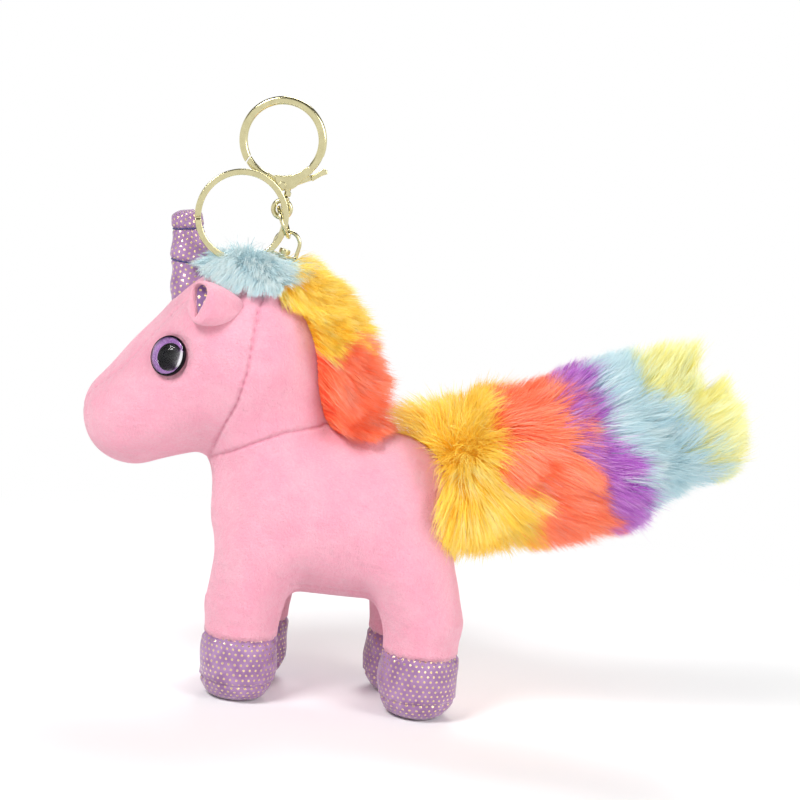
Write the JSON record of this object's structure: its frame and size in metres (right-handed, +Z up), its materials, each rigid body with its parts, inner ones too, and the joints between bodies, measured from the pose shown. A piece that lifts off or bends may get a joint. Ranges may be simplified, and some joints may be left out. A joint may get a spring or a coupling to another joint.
{
  "type": "plush unicorn bag charm",
  "caption": "Small stuffed unicorn standing on four hooves, with long rainbow fur mane and tail, and a swivel bow, key ring and trigger clasp on its crown.",
  "frame": {"origin": "on the floor under the middle of the toy's length and width, hooves standing on Z = 0", "axes": "+Z up, +X from the muzzle towards the tail, +Y towards the toy's right side"},
  "size_m": [0.1925, 0.0528, 0.1789],
  "materials": {
    "pink_plush": "short pile plush, soft sheen",
    "lavender_foil_fabric": "twill with small gold foil dots",
    "glitter_lining": "lavender twill with gold foil dots",
    "stuffing": "loose polyester fibre",
    "navy_thread": "twisted polyester thread",
    "fur_backing": "knitted backing",
    "fur_blue": "long faux fur pile",
    "fur_yellow": "long faux fur pile",
    "fur_orange": "long faux fur pile",
    "fur_purple": "long faux fur pile",
    "fur_pale_yellow": "long faux fur pile",
    "pink_collar": "gathered plush",
    "black_plastic": "gloss",
    "purple_glitter": "glitter foil",
    "clear_plastic": "clear, polished",
    "white_plastic": "moulded",
    "gold_metal": "polished pale gold plating",
    "spring_steel": "drawn wire"
  },
  "bodies": {
    "toy": {"belly_gusset": "pink_plush", "body_side_left": "pink_plush", "body_side_right": "pink_plush", "crown_post": "gold_metal", "crown_washer": "white_plastic", "eye_base_left": "black_plastic", "eye_base_right": "black_plastic", "eye_iris_left": "purple_glitter", "eye_iris_right": "purple_glitter", "eye_lens_left": "clear_plastic", "eye_lens_right": "clear_plastic", "eye_washer_left": "white_plastic", "eye_washer_right": "white_plastic", "head_gusset": "pink_plush", "head_side_left": "pink_plush", "head_side_right": "pink_plush", "head_stuffing": "stuffing", "hoof_sole_front_left": "lavender_foil_fabric", "hoof_sole_front_right": "lavender_foil_fabric", "hoof_sole_hind_left": "lavender_foil_fabric", "hoof_sole_hind_right": "lavender_foil_fabric", "hoof_wall_front_left": "lavender_foil_fabric", "hoof_wall_front_right": "lavender_foil_fabric", "hoof_wall_hind_left": "lavender_foil_fabric", "hoof_wall_hind_right": "lavender_foil_fabric", "horn_cover": "lavender_foil_fabric", "horn_stitches": "navy_thread", "horn_stuffing": "stuffing", "leg_stuffing_front_left": "stuffing", "leg_stuffing_front_right": "stuffing", "leg_stuffing_hind_left": "stuffing", "leg_stuffing_hind_right": "stuffing", "mane_backing": "fur_backing", "mane_fur_blue": "fur_blue", "mane_fur_orange": "fur_orange", "mane_fur_yellow": "fur_yellow", "neck_side_left": "pink_plush", "neck_side_right": "pink_plush", "neck_stuffing": "stuffing", "torso_stuffing": "stuffing"},
    "ear_left": {"ear_outer_left": "pink_plush", "ear_lining_left": "glitter_lining"},
    "ear_right": {"ear_outer_right": "pink_plush", "ear_lining_right": "glitter_lining"},
    "bow": {"swivel_bow": "gold_metal"},
    "jump_ring": {"jump_ring": "gold_metal"},
    "key_ring": {"key_ring": "gold_metal"},
    "clasp_eye": {"clasp_eye": "gold_metal"},
    "clasp": {"clasp_hook": "gold_metal", "clasp_rivet": "gold_metal", "clasp_spring": "spring_steel"},
    "gate": {"clasp_gate": "gold_metal"},
    "tail_root": {"tail_root_collar": "pink_collar"},
    "tail": {"tail_stuffing": "stuffing", "tail_fur_blue": "fur_blue", "tail_fur_orange": "fur_orange", "tail_fur_purple": "fur_purple", "tail_fur_tip": "fur_pale_yellow", "tail_fur_yellow": "fur_yellow"}
  },
  "joints": [
    {"name": "bow_turn", "type": "hinge", "parent": "toy", "child": "bow", "pos_m": [-0.0418, 0, 0.1273], "axis": [0.225, 0, 0.9744], "range_deg": [0, 8]},
    {"name": "jump_ring_swing", "type": "hinge", "parent": "bow", "child": "jump_ring", "pos_m": [-0.03906, 0, 0.13919], "axis": [0.9744, 0, -0.225], "range_deg": [-80, 0]},
    {"name": "key_ring_swing", "type": "hinge", "parent": "jump_ring", "child": "key_ring", "pos_m": [-0.041, -0.00195, 0.1427], "axis": [0, 0, 1], "range_deg": [0, 10]},
    {"name": "clasp_swing", "type": "hinge", "parent": "jump_ring", "child": "clasp_eye", "pos_m": [-0.0433, 0, 0.1461], "axis": [0, 1, 0], "range_deg": [0, 60]},
    {"name": "clasp_swivel", "type": "hinge", "parent": "clasp_eye", "child": "clasp", "pos_m": [-0.04155, 0, 0.1496], "axis": [0.1908, 0, 0.9816], "range_deg": [-280, 0]},
    {"name": "gate_open", "type": "hinge", "parent": "clasp", "child": "gate", "pos_m": [-0.043, 0, 0.1526], "axis": [0, 1, 0], "range_deg": [0, 25], "stiffness_Nm_per_rad": 0.03, "springref_deg": -17.19},
    {"name": "ear_left_flop", "type": "hinge", "parent": "toy", "child": "ear_left", "pos_m": [-0.0525, -0.021, 0.1163], "axis": [0, 0, 1], "range_deg": [0, 30], "stiffness_Nm_per_rad": 0.002},
    {"name": "ear_right_flop", "type": "hinge", "parent": "toy", "child": "ear_right", "pos_m": [-0.0525, 0.021, 0.1163], "axis": [0, 0, -1], "range_deg": [0, 30], "stiffness_Nm_per_rad": 0.002},
    {"name": "tail_swing", "type": "hinge", "parent": "toy", "child": "tail_root", "pos_m": [0.02133, 0, 0.07159], "axis": [0, 0, 1], "range_deg": [-20, 20], "stiffness_Nm_per_rad": 0.05},
    {"name": "tail_lift", "type": "hinge", "parent": "tail_root", "child": "tail", "pos_m": [0.02133, 0, 0.07159], "axis": [0, -1, 0], "range_deg": [-15, 25], "stiffness_Nm_per_rad": 0.05}
  ]
}
